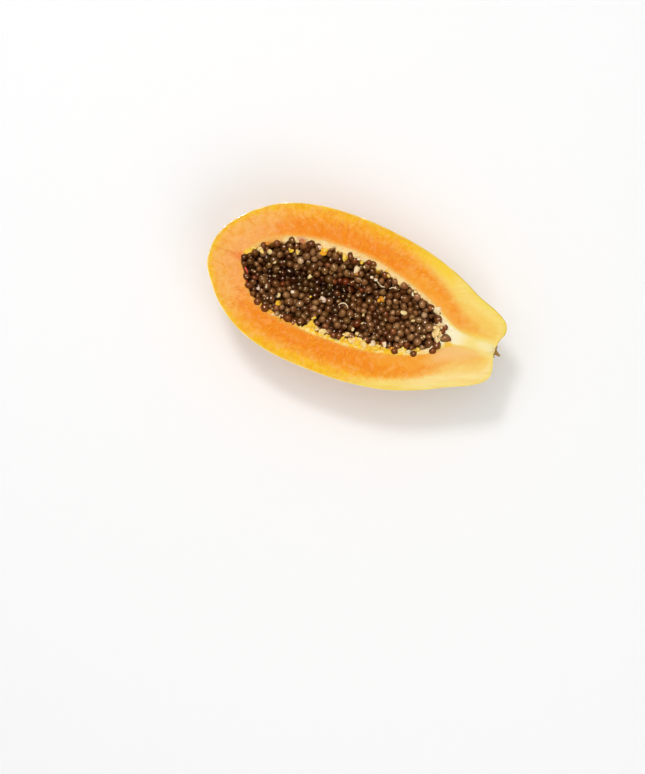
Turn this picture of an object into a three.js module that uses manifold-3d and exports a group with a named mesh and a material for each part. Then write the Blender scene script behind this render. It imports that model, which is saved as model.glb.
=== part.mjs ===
// Half of a large ripe papaya, cut lengthwise and lying on its rounded back with the cut face up.
// The seeds still fill the cavity, on the pale lining that the fruit's fibres run through to the stalk.
//
// Millimetres. +X runs along the fruit to the stalk end, +Y across the cut face, +Z up.
// The origin is the middle of the small flat spot that the half rests on, under its widest section.

import * as THREE from "three";
import { mergeVertices } from "three/addons/utils/BufferGeometryUtils.js";
import Module from "manifold-3d";

const wasm = await Module();
wasm.setup();

// ---------------------------------------------------------------- driving dimensions

const WIDEST_RADIUS = 65.5; // half the fruit's greatest width
const REST_SINK = 1.2; // how far the soft round back is pressed flat where it rests
const FACE_Z = WIDEST_RADIUS - REST_SINK; // height of the cut face
const GAP = 0.3; // clearance between neighbouring pieces

// Outlines on the cut face. Each station is x, then the half-widths on the +Y and the -Y side.
const FRUIT_OUTLINE = {
  blossom: -106.4,
  stations: [
    [-104.8, 13, 13],
    [-96.6, 28, 27],
    [-82.6, 42.7, 41.6],
    [-62, 55.7, 54.5],
    [-34, 63.5, 62.9],
    [-2, 65.5, 65.4],
    [30, 63.2, 64.8],
    [62, 57.4, 60.2],
    [90, 48.2, 50.8],
    [112, 37.8, 40.4],
    [128, 31.6, 33.2],
    [138, 25.8, 26.4],
    [142, 18, 18],
    [140.2, 9.2, 9],
  ],
  stalk: 138.8,
};

// The edge between the orange flesh and the pale lining. Past x = 100 it is the fibre core in the neck.
const CAVITY_OUTLINE = {
  blossom: -80,
  stations: [
    [-75, 13, 11],
    [-64, 23, 23.5],
    [-50, 30.5, 33],
    [-29, 36, 36.5],
    [-4, 37.6, 37.6],
    [22, 36.4, 37.5],
    [46, 31, 34.6],
    [68, 24.4, 29.6],
    [86, 16.2, 21.6],
    [102, 7.6, 9],
    [118, 5.2, 4.8],
    [132, 4.6, 3.8],
  ],
  stalk: 136.4,
};

// The inner edge of the lining, which is the hollow that the seeds lie in.
const HOLLOW_OUTLINE = {
  blossom: -78.4,
  stations: [
    [-73, 9.6, 8],
    [-62, 19.4, 20.6],
    [-48, 27, 30],
    [-28, 32.4, 33.8],
    [-4, 33.8, 34.4],
    [21, 32.6, 33.6],
    [44, 27.4, 30.4],
    [65, 20.8, 25.6],
    [82, 13, 18],
    [95, 6.2, 9],
  ],
  stalk: 104.5,
};

const FRUIT_LOBES = 0.022; // depth of the five lobes at the shoulders, as a share of the radius
const BACK_UNEVENNESS = 0.01; // slow swells of the round back, as a share of the radius
const CAVITY_LOBES = 0.05; // the cavity is five-sided, as a share of its radius
const CAVITY_DEPTH = 0.94; // the cavity's depth as a share of its half-width

// Sampling of the round surfaces: steps along the fruit and around it.
const FRUIT_STEPS = [44, 20];
const CAVITY_STEPS = [26, 10];

// Seeds in their wet coats, from the largest to the smallest half-axis.
const SEED_HALF_AXES = [2.95, 2.65, 2.55];
const SEED_SIZE_SPREAD = 0.14;
const SEED_SPACING = 6.5;
const SEED_NUDGE = 1.2; // how far a seed may lie out of its row, from side to side
const SEED_LIFT = 1.4; // and in height
const SEED_EDGE_CLEARANCE = 3.8; // from a seed's middle to the lining's inner edge
const HEAP_RIM_DEPTH = 0.4; // how far the seeds at the lining lie below the cut face
const HEAP_VALLEY_DEPTH = 12; // how far the middle of the heap lies below the cut face
const HEAP_MIDDLE_X = 4;
const HEAP_HALF_LENGTH = 86;
const CORE_DEPTH = 3.6; // how far the solid core stays under the seeds' tops
const CORE_CLEARANCE = 0.8; // from the core's side to the lining, whose facets it doesn't share
const HEAP_LID_SHARES = [0.25, 0.5, 0.75]; // where the core's top is shaped, from its -Y to its +Y rim

// The dried stalk, cut through with the fruit: a scar in the dimple, and a short spur that points outwards.
// Each profile point is the distance from the fruit's axis, then the distance out from the dimple's bottom.
const STALK_PROFILE = [
  [0, 0.35],
  [3.4, 0.75],
  [4.5, 1.2],
  [4.1, 1.9],
  [2.1, 2.2],
  [1.6, 3.2],
  [1.1, 5.3],
  [0, 5.7],
];
const STALK_SIDES = 12;
const STALK_BEND = 0.35; // how far the spur leans towards -Y for each millimetre outwards

// ---------------------------------------------------------------- helpers

/** A repeatable stream of numbers from 0 to 1. */
function randomStream(seed) {
  let state = seed >>> 0;
  return () => {
    state = (state + 0x6d2b79f5) >>> 0;
    let mixed = Math.imul(state ^ (state >>> 15), 1 | state);
    mixed = (mixed + Math.imul(mixed ^ (mixed >>> 7), 61 | mixed)) ^ mixed;
    return ((mixed ^ (mixed >>> 14)) >>> 0) / 4294967296;
  };
}

/** The two sides of an outline, as smooth curves from the blossom end to the stalk end. */
function sidesOf(outline) {
  const upper = outline.stations.map(([x, y]) => new THREE.Vector3(x, y, 0));
  const lower = outline.stations.map(([x, , y]) => new THREE.Vector3(x, -y, 0));
  const blossom = new THREE.Vector3(outline.blossom, 0, 0);
  const stalk = new THREE.Vector3(outline.stalk, 0, 0);
  const loop = [blossom, ...upper, stalk, ...lower.reverse()];
  const curve = new THREE.CatmullRomCurve3(loop, true, "catmullrom", 0.5);
  return {
    upper: (share) => curve.getPoint(share / 2),
    lower: (share) => curve.getPoint((1 - share / 2) % 1),
  };
}

/** A closed mesh from its points and triangles, as a solid that can be joined and cut. */
function solidOf(points, triangles) {
  const geometry = new THREE.BufferGeometry();
  geometry.setAttribute("position", new THREE.Float32BufferAttribute(points.flat(), 3));
  geometry.setIndex(triangles.flat());
  return solidOfGeometry(geometry);
}

function solidOfGeometry(geometry) {
  const bare = geometry.clone();
  bare.deleteAttribute("normal");
  bare.deleteAttribute("uv");
  const merged = mergeVertices(bare, 1e-4);
  return new wasm.Manifold(
    new wasm.Mesh({
      numProp: 3,
      vertProperties: merged.attributes.position.array,
      triVerts: new Uint32Array(merged.index.array),
    }),
  );
}

/**
 * The bowl under an outline: its two sides are turned about the fruit's axis, from one rim of the cut face
 * under the fruit to the other, and shade into each other on the way. radiusFactor(x, turn) makes it uneven,
 * shrink moves its wall inwards, and rimDrop lowers its rim below the cut face. lid(upperRim, lowerRim) lists
 * the points that close it on top, from the lower rim back to the upper one.
 */
function bowl(outline, steps, { radiusFactor, depth = 1, shrink = 0, rimDrop = 0, lid = () => [] }) {
  const [along, around] = steps;
  const sides = sidesOf(outline);
  const points = [];
  const triangles = [];
  const add = (point) => points.push(point) - 1;
  const place = (share, turn) => {
    const upper = sides.upper(share);
    const lower = sides.lower(share);
    const towardsLower = (1 - Math.cos(turn)) / 2;
    const x = THREE.MathUtils.lerp(upper.x, lower.x, towardsLower);
    const width = THREE.MathUtils.lerp(upper.y, -lower.y, towardsLower) - shrink;
    const radius = Math.max(width, 0.2) * radiusFactor(x, turn);
    return [x, radius * Math.cos(turn), FACE_Z - depth * radius * Math.sin(turn)];
  };
  const turnAtRim = (width) => Math.asin(Math.min(rimDrop / (depth * Math.max(width - shrink, 0.2)), 0.95));

  // Rings from the upper rim under the fruit to the lower rim, then back across the lid.
  const rings = [];
  for (let i = 1; i < along; i++) {
    const share = i / along;
    const from = turnAtRim(sides.upper(share).y);
    const to = Math.PI - turnAtRim(-sides.lower(share).y);
    const ring = [];
    for (let j = 0; j <= around; j++) ring.push(place(share, from + ((to - from) * j) / around));
    rings.push([...ring, ...lid(ring[0], ring[around])].map(add));
  }
  const count = rings[0].length;
  for (let i = 1; i < rings.length; i++) {
    for (let j = 0; j < count; j++) {
      const [a, b] = [rings[i - 1][j], rings[i - 1][(j + 1) % count]];
      const [c, d] = [rings[i][j], rings[i][(j + 1) % count]];
      triangles.push([a, c, b], [b, c, d]);
    }
  }
  const blossom = add([outline.blossom + shrink, 0, FACE_Z - rimDrop]);
  const stalk = add([outline.stalk - shrink, 0, FACE_Z - rimDrop]);
  const first = rings[0];
  const last = rings[rings.length - 1];
  for (let j = 0; j < count; j++) {
    triangles.push([blossom, first[j], first[(j + 1) % count]]);
    triangles.push([stalk, last[(j + 1) % count], last[j]]);
  }
  return solidOf(points, triangles);
}

/** A lid a little above the cut face, for a bowl that cuts a hollow open. */
function raisedLid([upperX, upperY], [lowerX, lowerY]) {
  const height = FACE_Z + 4;
  return [
    [lowerX, lowerY, height],
    [upperX, upperY, height],
  ];
}

/** The largest closed body of a solid: sealed hollows are filled and loose scraps dropped. */
function onePiece(solid) {
  const bodies = solid.decompose();
  return bodies.reduce((best, body) => (body.volume() > best.volume() ? body : best));
}

/** A named mesh with its own material, from a solid. */
function meshOf(name, solid, colour, roughness) {
  const { vertProperties, triVerts } = solid.getMesh();
  const geometry = new THREE.BufferGeometry();
  geometry.setAttribute("position", new THREE.BufferAttribute(vertProperties, 3));
  geometry.setIndex(new THREE.BufferAttribute(triVerts, 1));
  geometry.computeVertexNormals();
  const material = new THREE.MeshStandardMaterial({ color: colour, roughness, metalness: 0 });
  const mesh = new THREE.Mesh(geometry, material);
  mesh.name = name;
  return mesh;
}

// ---------------------------------------------------------------- flesh and rind

/** Five lobes that grow towards the shoulders, and slow swells of the back. Both vanish at the cut face. */
function fruitRadiusFactor(x, turn) {
  const towardsShoulders = THREE.MathUtils.smoothstep(x, 40, 130);
  const lobes = FRUIT_LOBES * towardsShoulders * (Math.cos(5 * turn) - Math.cos(turn));
  const swells = BACK_UNEVENNESS * Math.sin(turn) * Math.sin(2 * turn + 0.6) * Math.cos(x / 38);
  return 1 + lobes + swells;
}

/** The cavity is five-sided under the cut face, with its ridges between the fruit's lobes. */
function cavityRadiusFactor(x, turn) {
  return 1 - CAVITY_LOBES * Math.sin(turn) * Math.cos(5 * turn);
}

function makeFlesh() {
  const fruit = bowl(FRUIT_OUTLINE, FRUIT_STEPS, { radiusFactor: fruitRadiusFactor });
  const cavity = bowl(CAVITY_OUTLINE, CAVITY_STEPS, {
    radiusFactor: cavityRadiusFactor,
    depth: CAVITY_DEPTH,
    lid: raisedLid,
  });
  const table = new THREE.BoxGeometry(400, 200, 10).translate(0, 0, -5);
  return fruit.subtract(cavity).subtract(solidOfGeometry(table));
}

// ---------------------------------------------------------------- lining and fibre core

function makeLining() {
  const outer = bowl(CAVITY_OUTLINE, CAVITY_STEPS, {
    radiusFactor: cavityRadiusFactor,
    depth: CAVITY_DEPTH,
    shrink: GAP,
  });
  const hollow = bowl(HOLLOW_OUTLINE, CAVITY_STEPS, {
    radiusFactor: cavityRadiusFactor,
    depth: CAVITY_DEPTH,
    lid: raisedLid,
  });
  return outer.subtract(hollow);
}

// ---------------------------------------------------------------- seeds

/** The y of the valley that runs along the heap: it swings towards +Y around the middle. */
function valleyY(x) {
  const swing = Math.exp(-(((x - 12) / 26) ** 2));
  return 3 + 11 * swing;
}

const hollowSides = sidesOf(HOLLOW_OUTLINE);

/** Half-widths of the hollow at x, towards +Y and towards -Y. */
function hollowWidths(x) {
  return [hollowSides.upper, hollowSides.lower].map((side) => {
    let low = 0;
    let high = 1;
    for (let i = 0; i < 20; i++) {
      const middle = (low + high) / 2;
      if (side(middle).x < x) low = middle;
      else high = middle;
    }
    return Math.abs(side(low).y);
  });
}

/** How far a row of seeds at x may reach, towards +Y and towards -Y, to keep clear of the lining. */
function rowReach(x) {
  const besides = [-0.6, 0, 0.6].map((share) => hollowWidths(x + share * SEED_EDGE_CLEARANCE));
  return [0, 1].map((side) => Math.min(...besides.map((widths) => widths[side])) - SEED_EDGE_CLEARANCE);
}

/** Height of the seeds' tops: level with the cut face at the rim, and lower along the valley. */
function heapTop(x, y) {
  const [upper, lower] = hollowWidths(x);
  const valley = THREE.MathUtils.clamp(valleyY(x), -0.5 * lower, 0.5 * upper);
  const reach = y > valley ? upper - valley : lower + valley;
  const fromValley = Math.min(Math.abs(y - valley) / Math.max(reach, 1), 1);
  const alongHeap = (x - HEAP_MIDDLE_X) / HEAP_HALF_LENGTH;
  const depth = HEAP_VALLEY_DEPTH * Math.max(1 - alongHeap ** 2, 0) ** 0.8;
  return FACE_Z - HEAP_RIM_DEPTH - depth * (1 - fromValley ** 1.7);
}

/** The solid under the seeds that show. */
function makeHeapCore() {
  return bowl(HOLLOW_OUTLINE, CAVITY_STEPS, {
    radiusFactor: cavityRadiusFactor,
    depth: CAVITY_DEPTH,
    shrink: CORE_CLEARANCE,
    rimDrop: HEAP_RIM_DEPTH + CORE_DEPTH,
    lid: ([upperX, upperY], [lowerX, lowerY]) =>
      HEAP_LID_SHARES.map((share) => {
        const x = THREE.MathUtils.lerp(lowerX, upperX, share);
        const y = THREE.MathUtils.lerp(lowerY, upperY, share);
        return [x, y, heapTop(x, y) - CORE_DEPTH];
      }),
  });
}

/** One seed: a small faceted egg, turned at random. */
function makeSeed(centre, random) {
  const size = 1 + SEED_SIZE_SPREAD * (2 * random() - 1);
  const turn = new THREE.Euler(random() * Math.PI, random() * Math.PI, random() * Math.PI);
  const egg = new THREE.IcosahedronGeometry(1.06, 0);
  egg.scale(...SEED_HALF_AXES.map((halfAxis) => halfAxis * size));
  egg.applyMatrix4(new THREE.Matrix4().makeRotationFromEuler(turn));
  egg.translate(...centre);
  return solidOfGeometry(egg);
}

/**
 * Seeds in rows across the heap, each nudged at random, and fused to the core. Every second row reaches the
 * lining on both sides, and the rows between have their seeds in its gaps.
 */
function makeSeeds() {
  const random = randomStream(3);
  const pieces = [makeHeapCore()];
  const rowStep = (SEED_SPACING * Math.sqrt(3)) / 2;
  for (let row = 1; HOLLOW_OUTLINE.blossom + row * rowStep < HOLLOW_OUTLINE.stalk; row++) {
    const rowX = HOLLOW_OUTLINE.blossom + row * rowStep;
    const [upper, lower] = rowReach(rowX);
    if (upper + lower < 0) continue;
    const gaps = Math.max(Math.round((upper + lower) / SEED_SPACING), 1);
    const isFull = row % 2 === 0;
    for (let k = 0; k < (isFull ? gaps + 1 : gaps); k++) {
      const share = (k + (isFull ? 0 : 0.5)) / gaps;
      const x = rowX + SEED_NUDGE * (random() - 0.5);
      const y = THREE.MathUtils.lerp(-lower, upper, share) + SEED_NUDGE * (random() - 0.5);
      const lift = SEED_LIFT * (random() - 0.5);
      pieces.push(makeSeed([x, y, heapTop(x, y) - SEED_HALF_AXES[1] + lift], random));
    }
  }
  return onePiece(wasm.Manifold.union(pieces));
}

// ---------------------------------------------------------------- stalk

/** The stalk's profile turned about the fruit's axis, leaning a little, and halved at the cut face. */
function makeStalk() {
  const profile = STALK_PROFILE.map(([radius, out]) => new THREE.Vector2(radius, out));
  const turned = new THREE.LatheGeometry(profile, STALK_SIDES);
  turned.rotateZ(-Math.PI / 2);
  const lean = new THREE.Matrix4().set(1, 0, 0, 0, -STALK_BEND, 1, 0, 0, 0, 0, 1, 0, 0, 0, 0, 1);
  turned.applyMatrix4(lean).translate(FRUIT_OUTLINE.stalk, 0, FACE_Z);
  const below = new THREE.BoxGeometry(40, 40, 20).translate(FRUIT_OUTLINE.stalk, 0, FACE_Z - 10);
  return solidOfGeometry(turned).intersect(solidOfGeometry(below));
}

// ---------------------------------------------------------------- object

const papaya = new THREE.Group();
papaya.add(
  meshOf("flesh", makeFlesh(), 0xf29a3c, 0.45),
  meshOf("lining", makeLining(), 0xf6d9a0, 0.6),
  meshOf("seeds", makeSeeds(), 0x33241c, 0.25),
  meshOf("stalk", makeStalk(), 0x4a3524, 0.85),
);
export default papaya;
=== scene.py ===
import bpy
import numpy as np
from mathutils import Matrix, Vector


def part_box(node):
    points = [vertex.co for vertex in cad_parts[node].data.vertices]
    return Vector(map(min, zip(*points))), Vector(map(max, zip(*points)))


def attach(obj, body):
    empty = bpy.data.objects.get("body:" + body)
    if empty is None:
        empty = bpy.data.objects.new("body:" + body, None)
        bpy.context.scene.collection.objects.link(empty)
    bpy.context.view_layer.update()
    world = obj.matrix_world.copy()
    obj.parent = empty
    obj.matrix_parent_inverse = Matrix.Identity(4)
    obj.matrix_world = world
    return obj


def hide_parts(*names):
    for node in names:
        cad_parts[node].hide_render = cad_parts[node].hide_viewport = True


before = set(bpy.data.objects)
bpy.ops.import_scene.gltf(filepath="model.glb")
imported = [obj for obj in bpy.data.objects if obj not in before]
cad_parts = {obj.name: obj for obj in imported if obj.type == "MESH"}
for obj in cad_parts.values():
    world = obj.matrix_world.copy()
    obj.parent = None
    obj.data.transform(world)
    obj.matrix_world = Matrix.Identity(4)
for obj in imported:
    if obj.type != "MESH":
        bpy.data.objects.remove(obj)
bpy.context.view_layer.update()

# ---------------------------------------------------------------- flesh
# The orange flesh of a ripe papaya, cut lengthwise. It is one soft solid with a round back, a cavity in the
# middle and a flat cut face, on which fine fibres and small wet dents show. Lengths here are millimetres.

MM = 0.001
FACE_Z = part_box("flesh")[1].z / MM
RIND_THICKNESS = 0.7

# Outlines on the cut face: x, then the half-widths on the +Y and the -Y side. The ends lie on the axis.
FRUIT_OUTLINE = np.array([
    (-106.4, 0, 0), (-104.6, 13, 12.6), (-96.4, 28, 25.8), (-82.6, 42, 41), (-62, 55.2, 54.2),
    (-34, 63.1, 62.6), (-2, 65.1, 65.3), (30, 63, 64.9), (62, 57.4, 60.4), (90, 48.2, 51.2),
    (112, 37.6, 40.6), (128, 31.6, 33.4), (138, 26.1, 26.9), (141.6, 21, 21.4), (142.2, 16, 16.6),
    (140.6, 11.8, 9.8), (139.2, 7.6, 4.6), (138.8, 0, 0),
])
CAVITY_OUTLINE = np.array([
    (-80, 0, 0), (-75, 13, 11), (-64, 23, 23.5), (-50, 30.5, 33), (-29, 36, 36.5), (-4, 37.6, 37.6),
    (22, 36.4, 37.5), (46, 31, 34.6), (68, 24.4, 29.6), (86, 16.2, 21.6), (102, 7.6, 9), (118, 5.2, 4.8),
    (132, 4.6, 3.8), (136.4, 0, 0),
])
CAVITY_DEPTH = 0.94  # as a share of its half-width
STEPS_ALONG = 300
SKIN_STEPS = 72
WALL_STEPS = 32
FACE_STEPS = 36


def curve_through(points, along):
    """A smooth closed curve through points, where along counts its spans. Each span is a cubic whose slope at
    a point is half the chord between the points either side."""
    span = np.floor(along).astype(int)
    w = (along - span)[..., None]
    before, start, end, after = (points[(span + k) % len(points)] for k in (-1, 0, 1, 2))
    leave, arrive = (end - before) / 2, (after - start) / 2
    square = 3 * (end - start) - 2 * leave - arrive
    cube = 2 * (start - end) + leave + arrive
    return start + leave * w + square * w**2 + cube * w**3


def outline_side(outline, share, side):
    """Points of an outline from its blossom end (share 0) to its stalk end (share 1), on the +Y side
    (side 1) or the -Y side (side -1)."""
    upper = outline[:, :2]
    lower = outline[-2:0:-1][:, [0, 2]] * (1, -1)
    loop = np.concatenate([upper, lower])
    turn = np.asarray(share) / 2 if side > 0 else 1 - np.asarray(share) / 2
    return curve_through(loop, np.mod(turn, 1) * len(loop))


def smooth(low, high, value):
    """0 at low, 1 at high, and an S-shaped rise between them."""
    t = np.clip((value - low) / (high - low), 0, 1)
    return t * t * (3 - 2 * t)


def fruit_factor(x, turn):
    """The fruit's radius against a round one: five lobes that grow towards the shoulders, and slow swells."""
    lobes = 0.022 * smooth(40, 130, x) * (np.cos(5 * turn) - np.cos(turn))
    return 1 + lobes + 0.01 * np.sin(turn) * np.sin(2 * turn + 0.6) * np.cos(x / 38)


def cavity_factor(x, turn):
    """The cavity's radius against a round one: it is five-sided."""
    return 1 - 0.05 * np.sin(turn) * np.cos(5 * turn)


def half_turn(steps):
    """Angles from the +Y side of the cut face, round under the fruit, to the -Y side."""
    return np.linspace(0, np.pi, steps + 1)


def bowl(upper, lower, turns, factor, depth=1.0):
    """The surface under two sides of an outline, as a grid of points. Each pair of side points is joined by
    a half circle below the cut face, whose radius goes from one half-width to the other as 1 - cos(turn)."""
    turn = turns[None, :]
    mix = (1 - np.cos(turn)) / 2
    x = upper[:, :1] * (1 - mix) + lower[:, :1] * mix
    radius = (upper[:, 1:] * (1 - mix) - lower[:, 1:] * mix) * factor(x, turn)
    return np.stack([x, radius * np.cos(turn), FACE_Z - depth * radius * np.sin(turn)], axis=-1)


def waves(x, y, wavelength, seed, count=14):
    """Soft random unevenness between about -1 and 1: a sum of sine waves of one mean length, in random
    directions."""
    draw = np.random.default_rng(seed)
    heading = draw.uniform(0, np.pi, count)
    pace = 2 * np.pi / (wavelength * draw.uniform(0.7, 1.4, count))
    phase = draw.uniform(0, 2 * np.pi, count)
    run = x[..., None] * np.cos(heading) + y[..., None] * np.sin(heading)
    return np.sin(run * pace + phase).sum(-1) * np.sqrt(2 / count) / 1.6


def face_relief(x, y):
    """Height of the cut face over its plane: soft swells and small dents of the wet flesh, and the shallow
    crease that runs from the blossom end to the cavity."""
    off_crease = y - 2.4 - 0.6 * np.sin(x / 5)
    crease = np.exp(-((off_crease / 0.8) ** 2)) * smooth(-104, -98, x) * smooth(-76, -84, x)
    return 0.16 * waves(x, y, 16, 1) + 0.05 * waves(x, y, 3.2, 2, 24) - 0.3 * crease


def welded(*sheets):
    """One surface from grids of points, each given with whether it is turned over: every cell becomes two
    triangles, points that coincide become one, and triangles that this collapses are dropped."""
    points, triangles, start = [], [], 0
    for grid, flip in sheets:
        rows, columns = grid.shape[:2]
        at = start + np.arange(rows * columns).reshape(rows, columns)
        a, b, c, d = at[:-1, :-1], at[:-1, 1:], at[1:, 1:], at[1:, :-1]
        cells = np.concatenate([np.stack(corners, -1).reshape(-1, 3) for corners in ((a, b, c), (a, c, d))])
        triangles.append(cells[:, ::-1] if flip else cells)
        points.append(grid.reshape(-1, 3))
        start += rows * columns
    points, triangles = np.concatenate(points), np.concatenate(triangles)
    _, first, same = np.unique(np.round(points, 3), axis=0, return_index=True, return_inverse=True)
    triangles = same.reshape(-1)[triangles]
    a, b, c = triangles.T
    return points[first], triangles[(a != b) & (b != c) & (c != a)]


def add_object(name, data):
    """A new object in the scene, from a mesh, a camera or a lamp."""
    made = bpy.data.objects.new(name, data)
    bpy.context.scene.collection.objects.link(made)
    return made


def add_piece(name, points, triangles, attributes=None, sharpest=55):
    """A smooth-shaded mesh object from points in millimetres and triangles, with one number per point under
    each attribute's name. Edges that turn by more than the sharpest angle, in degrees, show as edges."""
    mesh = bpy.data.meshes.new(name)
    mesh.vertices.add(len(points))
    mesh.vertices.foreach_set("co", (points * MM).astype(np.float32).ravel())
    mesh.loops.add(len(triangles) * 3)
    mesh.loops.foreach_set("vertex_index", triangles.astype(np.int32).ravel())
    mesh.polygons.add(len(triangles))
    mesh.polygons.foreach_set("loop_start", np.arange(0, len(triangles) * 3, 3, dtype=np.int32))
    mesh.update(calc_edges=True)
    mesh.polygons.foreach_set("use_smooth", np.ones(len(triangles), dtype=bool))
    mesh.set_sharp_from_angle(angle=np.radians(sharpest))
    for key, values in (attributes or {}).items():
        layer = mesh.attributes.new(key, "FLOAT", "POINT")
        layer.data.foreach_set("value", values.astype(np.float32))
    return add_object(name, mesh)


def distance_to(points, outline, steps=500, at_once=4000):
    """Distance on the cut face from each point to an outline, worked out for some thousand points at once."""
    share = np.linspace(0, 1, steps)
    curve = np.concatenate([outline_side(outline, share, 1), outline_side(outline, share, -1)])
    batches = np.array_split(points[:, None, :2], max(len(points) // at_once, 1))
    return np.concatenate([np.sqrt(((batch - curve[None]) ** 2).sum(-1).min(1)) for batch in batches])


def inwards(grid, amount):
    """The grid moved into the bowl by an amount, along its own normals; the rims stay level."""
    normal = np.cross(np.gradient(grid, axis=0), np.gradient(grid, axis=1))
    normal[[0, -1]] = normal[[1, -2]]
    normal[:, [0, -1], 2] = 0
    normal[0] = normal[0].mean(0)
    normal[-1] = normal[-1].mean(0)
    normal /= np.linalg.norm(normal, axis=-1, keepdims=True)
    from_axis = (grid - (0, 0, FACE_Z)) * (0, 1, 1)
    outward = np.sign((from_axis * normal).sum())
    return grid - normal * outward * amount


def pressed_flat(grid):
    """The round back, pressed flat where it rests on the floor."""
    return np.concatenate([grid[..., :2], np.maximum(grid[..., 2:], 0)], -1)


def on_face(flat):
    """Points of the cut face at their height, from their x and y."""
    return np.concatenate([flat[..., :2], FACE_Z + face_relief(flat[..., 0], flat[..., 1])[..., None]], -1)


def face_strip(outer_rim, inner_rim):
    """The cut face between two rims, as straight rows of points from one to the other."""
    mix = np.linspace(0, 1, FACE_STEPS + 1)[None, :, None]
    return on_face(outer_rim[:, None, :] * (1 - mix) + inner_rim[:, None, :] * mix)


def furrowed(grid, half_width=16, softness=2.2):
    """The round back with a furrow that runs down from the dimple at the stalk end: near the axis, no point
    lies further out than the cut face's own edge does at the same y. It is a soft minimum of x and the edge,
    edge - s * log(1 + exp((edge - x) / s)), and s grows with the depth under the cut face."""
    ends = [outline_side(FRUIT_OUTLINE, np.linspace(0.8, 1, 200), side) for side in (-1, 1)]
    rim = np.concatenate([ends[0], ends[1][::-1]])
    x, y, z = np.moveaxis(grid, -1, 0)
    edge = np.interp(y, rim[:, 1], rim[:, 0])
    s = 0.02 + softness * smooth(0, 14, FACE_Z - z)
    limited = edge - s * np.logaddexp(0, (edge - x) / s)
    near_axis = smooth(half_width * 1.6, half_width, np.abs(y)) * smooth(110, 124, x)
    return np.stack([x + (limited - x) * near_axis, y, z], -1)


share = np.linspace(0, 1, STEPS_ALONG + 1)
fruit_sides = [outline_side(FRUIT_OUTLINE, share, side) for side in (1, -1)]
cavity_sides = [outline_side(CAVITY_OUTLINE, share, side) for side in (1, -1)]
skin = furrowed(bowl(*fruit_sides, half_turn(SKIN_STEPS), fruit_factor))
under_skin = inwards(skin, RIND_THICKNESS)
cavity_wall = bowl(*cavity_sides, half_turn(WALL_STEPS), cavity_factor, CAVITY_DEPTH)
for grid in (skin, under_skin, cavity_wall):
    grid[:, [0, -1]] = on_face(grid[:, [0, -1]])

flesh_points, flesh_triangles = welded(
    (face_strip(under_skin[:, 0], cavity_wall[:, 0]), False),
    (face_strip(under_skin[:, -1], cavity_wall[:, -1]), True),
    (pressed_flat(under_skin), True),
    (cavity_wall, False),
)
flesh = add_piece("papaya_flesh", flesh_points, flesh_triangles, {
    "from_rind": distance_to(flesh_points, FRUIT_OUTLINE),
    "from_cavity": distance_to(flesh_points, CAVITY_OUTLINE),
})


class Value:
    """A number that a finish works out at each point of a surface. Arithmetic on it adds Math nodes."""

    def __init__(self, finish, socket):
        self.finish = finish
        self.socket = socket

    def __add__(self, other):
        return self.finish.maths("ADD", self, other)

    def __sub__(self, other):
        return self.finish.maths("SUBTRACT", self, other)

    def __rsub__(self, other):
        return self.finish.maths("SUBTRACT", other, self)

    def __mul__(self, other):
        return self.finish.maths("MULTIPLY", self, other)

    def __truediv__(self, other):
        return self.finish.maths("DIVIDE", self, other)

    __radd__ = __add__
    __rmul__ = __mul__

    def rise(self, low, high):
        """0 where the value is at low, 1 where it is at high, and an S-shaped rise between them."""
        settings = {"interpolation_type": "SMOOTHSTEP"}
        return self.finish.node("MapRange", settings, {"Value": self, "From Min": low, "From Max": high})


def srgb(red, green, blue):
    """A colour given as it looks on a screen, from 0 to 255, as the light it stands for."""
    shown = np.array([red, green, blue]) / 255
    return tuple(np.where(shown <= 0.04045, shown / 12.92, ((shown + 0.055) / 1.055) ** 2.4).tolist())


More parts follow.
